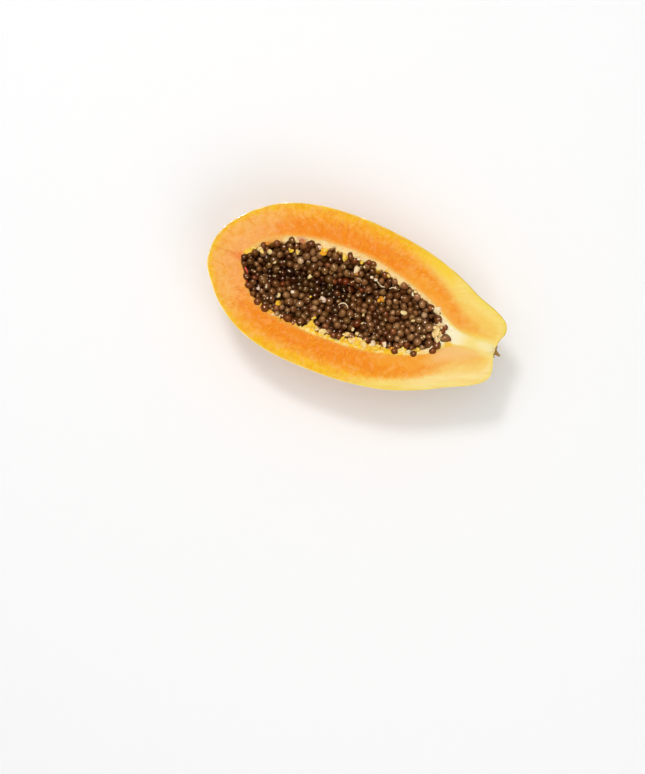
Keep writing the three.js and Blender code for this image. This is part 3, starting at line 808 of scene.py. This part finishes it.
# Each tuft is one large soft lobe with a smaller one that runs into it.
lobe_axes = np.repeat(tufts[:, 2:5], LOBES, 0) * (1, 1, 0.75)
is_main = np.arange(len(lobe_axes))[:, None] % LOBES == 0
spread = np.where(is_main, 0.0, 0.6)
lobe_shift = lobe_axes * spread * pulp_draw.uniform(-1, 1, lobe_axes.shape)
lobe_places = np.repeat(tuft_centres, LOBES, 0) + lobe_shift
lobe_axes = lobe_axes * np.where(is_main, 1.0, 0.65) * pulp_draw.uniform(0.9, 1.05, lobe_axes.shape)
lobe_tints = np.repeat(tufts[:, 5], LOBES) + pulp_draw.normal(0, 0.04, len(lobe_axes))
lobe_template = egg_template(6, 9)
lobes = scattered(lobe_template, lobe_places, lobe_axes, pulp_draw, 0.12, 0.25)
threads = joined(*(thread(places) for places in THREADS))
pulp = add_piece("pulp_bits", *joined(lobes, threads), {
    "tint": np.concatenate([np.repeat(lobe_tints, len(lobe_template[0])), np.full(len(threads[0]), 0.9)]),
    "crown": np.concatenate([height_in_copy(lobes[0], lobe_places), np.ones(len(threads[0]))]),
}, sharpest=180)


def pulp_finish():
    """Moist pulp from red through orange and yellow to cream white, blotchy and a little see-through. The
    flanks of each bit are painted darker orange, as painted shade.
    """
    pulp = Finish("pulp_bits")
    mottle = pulp.noise(2.4, 2, 0.5)
    tint = pulp.attribute("tint") + (mottle - 0.5) * 0.35
    pulp.colour = pulp.layers(tint, [
        (-0.6, srgb(168, 36, 30)), (-0.3, srgb(220, 96, 76)), (0.0, srgb(200, 124, 84)),
        (0.2, srgb(245, 164, 36)), (0.42, srgb(253, 204, 62)), (0.68, srgb(255, 220, 146)),
        (0.95, srgb(255, 230, 190)), (1.15, srgb(255, 216, 190)),
    ])
    pulp.paint(mottle.rise(0.56, 0.76) * 0.3, srgb(240, 168, 88))
    # The flanks of each bit are painted darker orange: painted shade.
    pulp.paint(pulp.attribute("crown").rise(0.5, -0.2) * 0.35, srgb(236, 164, 72))
    pulp.set(Base_Color=pulp.colour, Roughness=0.5 + (mottle - 0.5) * 0.2, Specular_IOR_Level=0.08)
    pulp.set(Subsurface_Weight=0.2, Subsurface_Radius=(1, 0.6, 0.3), Subsurface_Scale=0.001)
    pulp.relief(mottle * 0.15)
    return pulp.material


pulp.data.materials.append(pulp_finish())
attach(pulp, "root")
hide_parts("lining")

# ---------------------------------------------------------------- seeds
# Hundreds of seeds, each in a soft wet coat, fill the cavity in loose layers over a dark bed, which is
# painted
# as dark as the darkest seeds: painted shade deep in the heap. The heap is level with the cut face along the
# lining and sinks in a valley along the fruit.

SEED_HALF_AXES = np.array([3.75, 3.35, 3.25])
SEED_COUNT = 600
FLECK_COUNT = 130
HIGHEST_SEEDS = 260
BED_DEPTH = 10.0

# Seeds placed along the heap's edge and at its two ends: x, y, size, tone and redness.
# The redness of the seeds at the edge is painted warm light that shines through the flesh beside them.
STRAY_SEEDS = np.array([
    (97.6, -3.6, 1.1, 0.6, 0.1), (100.8, -3.4, 0.6, 0.3, 0.7), (92.6, -11, 1.15, 0.35, 0.5),
    (91.4, -17, 1, 0.3, 0.8), (86.6, 9, 1.1, 0.35, 0.5), (94.6, 4.4, 0.8, 0.35, 1), (94, 0.8, 0.7, 0.3, 0.7),
    (86.7, 14.3, 0.4, 0.2, 0.8), (77.5, -24.6, 1, 0.35, 0.3), (-78.4, 2.4, 0.85, 0.15, 0),
    (-74.4, 5.4, 0.9, 0.2, 0.1), (-76, -2.4, 0.85, 0.2, 0), (-72.6, 0.8, 0.95, 0.15, 0),
    (-71, 8.8, 0.85, 0.25, 0.2), (-57, 21.8, 0.9, 0.35, 0.4), (18, 33, 0.65, 0.3, 1),
    (22.4, 33.2, 0.75, 0.3, 1), (11, -32.4, 0.9, 0.35, 0.7), (16, -31.6, 0.95, 0.3, 0.6),
    (62, -27.2, 0.95, 0.3, 0.7), (-71.6, -11.4, 0.95, 0.25, 0.2), (-66.6, -17.8, 1.05, 0.2, 0.6),
    (-61.4, -23, 0.9, 0.3, 0.3), (-55.6, -27.4, 1.05, 0.25, 0.7), (-48.6, -30.6, 1.1, 0.25, 0.8),
    (-28.4, -32, 1.1, 0.2, 0.8), (-17.6, -30.8, 0.95, 0.3, 0.5), (-66.6, 17, 0.9, 0.3, 0.6),
    (-46.6, 28.6, 0.95, 0.3, 0.3), (-31, 31.4, 1.05, 0.2, 0.2), (2.6, 32.4, 0.95, 0.3, 0.3),
    (69.6, -19.4, 0.95, 0.25, 0.7), (78, 15.6, 0.9, 0.35, 0.8),
])


def seed_bed_surface(rim=0.3):
    """The bed under the seeds: the hollow, filled to well under the seeds' tops, a little clear of its wall.
    The bed starts at an angle under the rim."""
    sides = [side[::4] * (0.96, 0.9) + (0.3, 0) for side in hollow_sides]
    wall = bowl(*sides, np.linspace(rim, np.pi - rim, WALL_STEPS + 1), cavity_factor, CAVITY_DEPTH)
    mix = np.linspace(0, 1, WALL_STEPS + 1)[None, :, None]
    lid = wall[:, :1] * (1 - mix) + wall[:, -1:] * mix
    lid[:, 1:-1, 2] = np.minimum(heap_top(lid[..., 0], lid[..., 1]) - BED_DEPTH, lid[..., 2])[:, 1:-1]
    return welded((wall, True), (lid, False))


seed_bed = add_piece("seed_bed", *seed_bed_surface())


def packed_seeds(radii, obstacles, obstacle_radii, rounds=80, closest=0.97, stiffness=0.32, lift=0.12):
    """Centres of seeds shaken together, which start at random under the heap's top. In each round, every two
    that come closer than a share of their radii's sum are pushed apart by the stiffness times what is
    missing, each is lifted towards its own level, and the walls push it back. Obstacles stay put."""
    draw = np.random.default_rng(8)
    count = len(radii)
    x = draw.uniform(-78, 92, count * 4)
    y = draw.uniform(-36, 36, count * 4)
    upper, lower = hollow_widths(x)
    fits = (y < upper - 1.5) & (y > 1.5 - lower)
    x, y = x[fits][:count], y[fits][:count]
    level = 7.5 * draw.uniform(0, 1, count) ** 1.5
    start = np.stack([x, y, heap_top(x, y) - radii - draw.uniform(0, 9, count)], -1)
    centres = np.concatenate([obstacles, start]).astype(np.float32)
    sizes = np.concatenate([obstacle_radii, radii]).astype(np.float32)
    spacing = (sizes[:, None] + sizes[None]) * closest
    moving = slice(len(obstacles), None)
    for _ in range(rounds):
        apart = centres[:, None] - centres[None]
        distance = np.sqrt((apart**2).sum(-1)) + np.eye(len(centres)) * 99
        push = np.maximum(spacing - distance, 0) / distance * stiffness
        centres[moving] += (apart * push[..., None]).sum(1)[moving]
        x, y, z = centres[moving].T
        upper, lower = hollow_widths(x)
        to_wall = np.clip(np.minimum(upper - y, lower + y) / 9, 0, 1)
        sink = ((FACE_Z - z).clip(0) / CAVITY_DEPTH) ** 2
        clearance = 0.2 + 1.8 * smooth(FACE_Z - 1, FACE_Z - 6, z)
        upper, lower = (np.sqrt(np.maximum((side**2) - sink, 1)) - clearance for side in (upper, lower))
        x = np.clip(x, -77, 87)
        y = np.clip(y, -np.maximum(lower, 0.3), np.maximum(upper, 0.3))
        top = heap_top(x, y) - radii - level * (0.25 + 0.75 * to_wall)
        centres[moving] = np.stack([x, y, np.clip(z + lift, top - 5, top)], -1)
    return centres[moving]


seed_draw = np.random.default_rng(15)
seed_scales = seed_draw.uniform(0.78, 1.18, SEED_COUNT)
seed_radii = SEED_HALF_AXES[1] * seed_scales
is_large = tufts[:, 2:5].max(1) > 1.5
stray_centres = np.concatenate([STRAY_SEEDS[:, :2], np.full((len(STRAY_SEEDS), 1), FACE_Z - 1.2)], 1)
obstacles = np.concatenate([tuft_centres[is_large], stray_centres])
obstacle_radii = np.concatenate([tufts[is_large, 2:4].mean(1) * 0.85, SEED_HALF_AXES[1] * STRAY_SEEDS[:, 2]])
seed_centres = np.concatenate([packed_seeds(seed_radii, obstacles, obstacle_radii), stray_centres])
seed_scales = np.concatenate([seed_scales, STRAY_SEEDS[:, 2]])
seed_count = len(seed_centres)
seed_template = egg_template(5, 8)
seed_axes = SEED_HALF_AXES * seed_scales[:, None] * seed_draw.uniform(0.9, 1.08, (seed_count, 3))

# How light each seed is: painted darker where it lies deep, in the valley and at the blossom end, as painted
# shade, and lighter towards the stalk end and the sides.
heap_x, heap_y, _ = seed_centres.T
below_top = heap_top(heap_x, heap_y) - seed_centres[:, 2]
# Seeds that lie deep are painted darker: painted shade.
sunk = smooth(0, 5, below_top - 3) + smooth(2, 12, FACE_Z - seed_centres[:, 2])
in_valley = np.exp(-(((heap_y - 2.5) / 6.5) ** 2)) * smooth(-58, -44, heap_x) * smooth(20, 4, heap_x)
valley_end = np.exp(-(((heap_y - 14) / 6) ** 2)) * smooth(-2, 8, heap_x) * smooth(44, 34, heap_x)
# Seeds in the valley, at its end and towards the blossom end are painted darker: painted shade.
painted_heap_shade = 0.48 * in_valley + 0.1 * valley_end + 0.14 * smooth(-36, -48, heap_x)
off_axis = smooth(8, 18, np.abs(heap_y))
lighter_towards_stalk_and_sides = 0.18 * smooth(35, 65, heap_x) + (0.08 + 0.12 * smooth(0, -14, heap_x)) * off_axis
patches = 0.12 * waves(heap_x, heap_y, 14, 81)
seed_tone = seed_draw.normal(0.56, 0.17, seed_count) - 0.22 * sunk + lighter_towards_stalk_and_sides - painted_heap_shade + patches
seed_tone = np.clip(seed_tone, -0.2, 1)
upper, lower = hollow_widths(heap_x)
to_wall = np.minimum(upper - heap_y, lower + heap_y)
# Seeds within 3.5 mm of the wall are often painted red: painted warm light that shines through the flesh
# beside them.
seed_redness = seed_draw.uniform(0, 1, seed_count) ** np.where(to_wall < 3.5, 1.5, 16)
seed_tone[SEED_COUNT:], seed_redness[SEED_COUNT:] = STRAY_SEEDS[:, 3], STRAY_SEEDS[:, 4]
per_point = len(seed_template[0])
seed_points, seed_triangles = scattered(seed_template, seed_centres, seed_axes, seed_draw, 0.08)
seeds = add_piece("papaya_seeds", seed_points, seed_triangles, {
    "crown": height_in_copy(seed_points, seed_centres),
    "tone": np.repeat(seed_tone, per_point),
    "redness": np.repeat(seed_redness, per_point),
    "olive": np.repeat(seed_draw.uniform(0, 1, seed_count) ** 3, per_point),
    "wetness": np.repeat(seed_draw.uniform(0, 1, seed_count) ** 1.3, per_point),
}, sharpest=180)


def seed_finish(name, loose=True):
    """Brown seeds seen through clear wet coats, which are smooth and shine: from nearly black to a warm grey
    brown, with a few reddish and some olive ones. Their tone holds painted shade where they lie deep or in
    the valley, the sides of each seed are painted dark as painted shade, and the seeds by the wall are
    painted red as warm light through the flesh. The bed under them is painted as dark as the darkest, as
    painted shade."""
    seeds = Finish(name)
    wrinkles = seeds.noise(1.5, 2, 0.6)
    # The bed's near-black is painted shade for the depth of the heap.
    seeds.colour = seeds.blend(wrinkles, srgb(40, 10, 0), srgb(22, 5, 0))
    wetness = 0
    if loose:
        seeds.colour = seeds.layers(seeds.attribute("tone") + (wrinkles - 0.5) * 0.5, [
            (-0.2, srgb(34, 8, 0)), (0.0, srgb(68, 24, 2)), (0.35, srgb(118, 70, 32)),
            (0.7, srgb(158, 110, 66)), (1.0, srgb(214, 170, 122)),
        ])
        # Red seeds by the wall: painted warm light through the flesh.
        seeds.paint(seeds.attribute("redness") * 0.5, srgb(150, 52, 12))
        seeds.paint(seeds.attribute("olive") * 0.3, srgb(128, 102, 44))
        # Each seed's sides are painted dark, so its top stays lighter: painted shade.
        seeds.paint(seeds.attribute("crown").rise(0.95, -0.05) * 0.88, srgb(52, 14, 0))
        wetness = seeds.attribute("wetness")
    seeds.set(Base_Color=seeds.colour, Roughness=0.42 + (wrinkles - 0.5) * 0.3, Specular_IOR_Level=0.4)
    seeds.set(Specular_Tint=(1, 0.62, 0.34), Coat_Weight=wetness, Coat_Roughness=0.15)
    seeds.set(Subsurface_Weight=0.1, Subsurface_Radius=(1, 0.45, 0.2), Subsurface_Scale=0.001)
    seeds.relief(wrinkles * 0.25)
    return seeds.material


seeds.data.materials.append(seed_finish("papaya_seeds"))
seed_bed.data.materials.append(seed_finish("seed_bed", loose=False))
for piece in (seeds, seed_bed):
    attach(piece, "root")
    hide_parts("seeds")

# Flecks of pale pulp cling to the tops of the highest seeds, and they also stand in for highlights on the
# seeds: painted highlights.
hosts = seed_draw.choice(np.argsort(below_top)[:HIGHEST_SEEDS], FLECK_COUNT)
lean = np.concatenate([seed_draw.normal(0, 0.45, (FLECK_COUNT, 2)), np.ones((FLECK_COUNT, 1))], 1)
lean /= np.linalg.norm(lean, axis=1, keepdims=True)
fleck_places = seed_centres[hosts] + lean * seed_axes[hosts]
fleck_axes = seed_draw.uniform(0.3, 0.7, (FLECK_COUNT, 3))
fleck_template = egg_template(4, 6)
fleck_points, fleck_triangles = scattered(fleck_template, fleck_places, fleck_axes, seed_draw, 0.2)
flecks = add_piece("pulp_and_highlight_flecks", fleck_points, fleck_triangles, {
    "tint": np.repeat(seed_draw.uniform(0.75, 1.05, FLECK_COUNT), len(fleck_template[0])),
    "crown": height_in_copy(fleck_points, fleck_places),
}, sharpest=180)
flecks.data.materials.append(pulp.data.materials[0])
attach(flecks, "root")
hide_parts("lining")

# ---------------------------------------------------------------- stalk
# The dried stub of the stalk, cut through with the fruit: a corky scar that fills the dimple's middle, and a
# short woody spur that leans out of it, with a few loose fibres.

STALK_X = FRUIT_OUTLINE[-1, 0]
STALK_LEAN = -0.48
STALK_PROFILE = np.array([
    (0.02, -0.6), (2.4, -0.4), (3.9, 0), (4.4, 0.3), (4, 0.5), (2.8, 0.65), (2.0, 1.0), (1.6, 1.7),
    (1.35, 2.5), (1.15, 3.3), (0.95, 4.1), (0.7, 4.7), (0.02, 5.1),
])
FIBRES = (
    ((0.3, 3.4), (0.7, 4.2), (0.9, 4.6)),
    ((0.6, -3.6), (1.1, -4.5), (1.5, -5.0)),
    ((4.2, -1.2), (4.9, -1.1), (5.5, -1.5)),
)


def stalk_surface(rows=50, steps_round=30, columns=9):
    """The profile (radius, distance out) turned half round under the cut face, leaning towards -Y, with
    ridges along it and rough bark: radius * (1 + ridges + bark). A flat strip closes it at the cut."""
    stations = np.linspace(0, 1, len(STALK_PROFILE))
    radius, out = (
        np.interp(np.linspace(0, 1, rows), stations, STALK_PROFILE[:, k])[:, None] for k in (0, 1))
    turn = half_turn(steps_round)[None, :]
    bark = 0.06 * np.cos(11 * turn) + 0.07 * waves(out * 4 + 0 * turn, turn * 3 + 0 * out, 2.4, 71, 20)
    around = radius * (1 + bark)
    across = STALK_LEAN * out + around * np.cos(turn)
    wall = np.stack([STALK_X + out + 0 * turn, across, FACE_Z - around * np.sin(turn)], -1)
    wall[..., 2] = np.where(np.sin(turn) < 1e-6, FACE_Z, wall[..., 2])
    mix = np.linspace(0, 1, columns)[None, :, None]
    top = wall[:, :1] * (1 - mix) + wall[:, -1:] * mix
    top[:, 1:-1, 2] += 0.14 * waves(top[..., 0] * 0.5, top[..., 1], 1.1, 72)[:, 1:-1]
    return welded((wall, True), (top, False))


def stalk_fibre(places, radius=0.3, steps=12):
    """A loose fibre, given as distances out from the dimple and across it. It rises a little to its tip."""
    flat = route(places, steps)
    rise = np.linspace(-0.2, 0.15, steps)
    return welded((tube(np.stack([STALK_X + flat[:, 0], flat[:, 1], FACE_Z + rise], -1), radius), True))


stalk = add_piece("stalk_stub", *joined(stalk_surface(), *(stalk_fibre(places) for places in FIBRES)))


def stalk_finish():
    """Dry grey-brown wood with fibres along it, darker where the scar has healed and at the torn tip."""
    stub = Finish("stalk_stub")
    stretched = stub.node("Mapping", inputs={"Vector": stub.place, "Scale": (0.25, 1, 1)})
    grain = stub.noise(0.7, 3, 0.6, at=stretched)
    stub.colour = stub.blend(grain.rise(0.35, 0.65), srgb(128, 90, 34), srgb(190, 150, 72))
    scar = stub.x.rise(STALK_X + 1.4, STALK_X + 0.4)
    stub.paint(scar * 0.8, stub.blend(grain, srgb(150, 96, 40), srgb(88, 54, 26)))
    stub.paint(stub.x.rise(STALK_X + 3.8, STALK_X + 5) * 0.6, srgb(104, 78, 46))
    stub.set(Base_Color=stub.colour, Roughness=0.8 + (grain - 0.5) * 0.2, Specular_IOR_Level=0.3)
    stub.relief(grain * 0.35)
    return stub.material


stalk.data.materials.append(stalk_finish())
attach(stalk, "root")
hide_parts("stalk")

# ---------------------------------------------------------------- stage, camera and light
# A plain pale floor under soft studio light. The camera looks straight down from about a metre and a half.

FRAME_CENTRE = (17.5, -74.8)
FRAME_HEIGHT = 627.0
LENS = 85.0
SENSOR = 36.0
PICTURE_TURN = np.radians(20)

floor_mesh = bpy.data.meshes.new("floor")
floor_mesh.from_pydata([(-4, -4, 0), (4, -4, 0), (4, 4, 0), (-4, 4, 0)], [], [(0, 1, 2, 3)])
floor = add_object("floor", floor_mesh)
pale = Finish("floor")
pale.set(Base_Color=(0.98, 0.98, 0.98), Roughness=0.9, Specular_IOR_Level=0.1)
floor_mesh.materials.append(pale.material)

camera_data = bpy.data.cameras.new("camera")
camera_data.lens = LENS
camera_data.sensor_width = SENSOR
camera_data.clip_end = 20
camera = add_object("camera", camera_data)
camera.location = Vector((*FRAME_CENTRE, FACE_Z + FRAME_HEIGHT * LENS / SENSOR)) * MM
camera.rotation_euler = (0, 0, PICTURE_TURN)
bpy.context.scene.camera = camera


def area_light(name, picture_direction, height, distance, size, brightness):
    """A square softbox that faces the fruit from a direction on the picture, as degrees from its right-hand
    side towards its top, and a height in degrees over the floor. It makes a white floor shine with the
    brightness: power = brightness * pi^2 * distance^2 / sin(height)."""
    data = bpy.data.lights.new(name, "AREA")
    data.shape = "SQUARE"
    data.size = size
    azimuth = np.radians(picture_direction) + PICTURE_TURN
    rise = np.radians(height)
    data.energy = brightness * np.pi**2 * distance**2 / np.sin(rise)
    lamp = add_object(name, data)
    towards = Vector((np.cos(azimuth) * np.cos(rise), np.sin(azimuth) * np.cos(rise), np.sin(rise)))
    lamp.location = towards * distance
    lamp.rotation_euler = towards.to_track_quat("Z", "Y").to_euler()
    return lamp


area_light("key", 112, 62, 2.2, 0.35, 0.2).visible_glossy = False
area_light("softbox", 125, 74, 2.4, 2.0, 0.24).visible_glossy = False
area_light("fill", -60, 54, 2.4, 1.6, 0.18).visible_glossy = False

# This lamp only makes wet surfaces glint, and the even light from all round makes no haze on them.
area_light("glints", 112, 70, 2.2, 0.34, 1.3).visible_diffuse = False
world = bpy.data.worlds.new("studio")
world.cycles_visibility.glossy = False
world.use_nodes = True
world.node_tree.nodes["Background"].inputs["Color"].default_value = (1, 1, 1, 1)
world.node_tree.nodes["Background"].inputs["Strength"].default_value = 0.45
bpy.context.scene.world = world
bpy.context.scene.view_settings.view_transform = "Standard"
